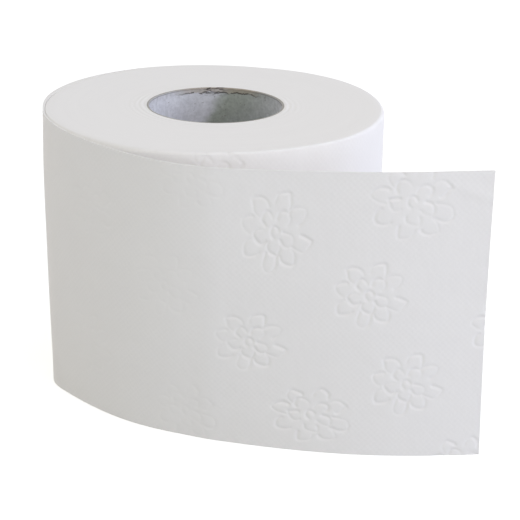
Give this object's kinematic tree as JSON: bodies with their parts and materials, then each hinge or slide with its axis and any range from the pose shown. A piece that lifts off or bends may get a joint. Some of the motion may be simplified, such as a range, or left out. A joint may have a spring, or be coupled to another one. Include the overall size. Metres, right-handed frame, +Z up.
{
  "type": "toilet paper roll",
  "caption": "Roll of embossed white toilet paper on a cardboard core, standing on its end, with its loose leaf pulled out in front.",
  "frame": {"origin": "middle of the core's bore at the foot, on the surface that the roll stands on", "axes": "+Z up along the roll's axis, -Y towards the viewer and the loose leaf, +X towards the leaf's cut end"},
  "size_m": [0.1453, 0.137, 0.094],
  "materials": {
    "tissue_paper": "matt, soft, embossed",
    "core_cardboard": "matt, grey, uncoated"
  },
  "bodies": {
    "root": {"paper_roll": "tissue_paper", "core_tube": "core_cardboard"}
  },
  "joints": []
}
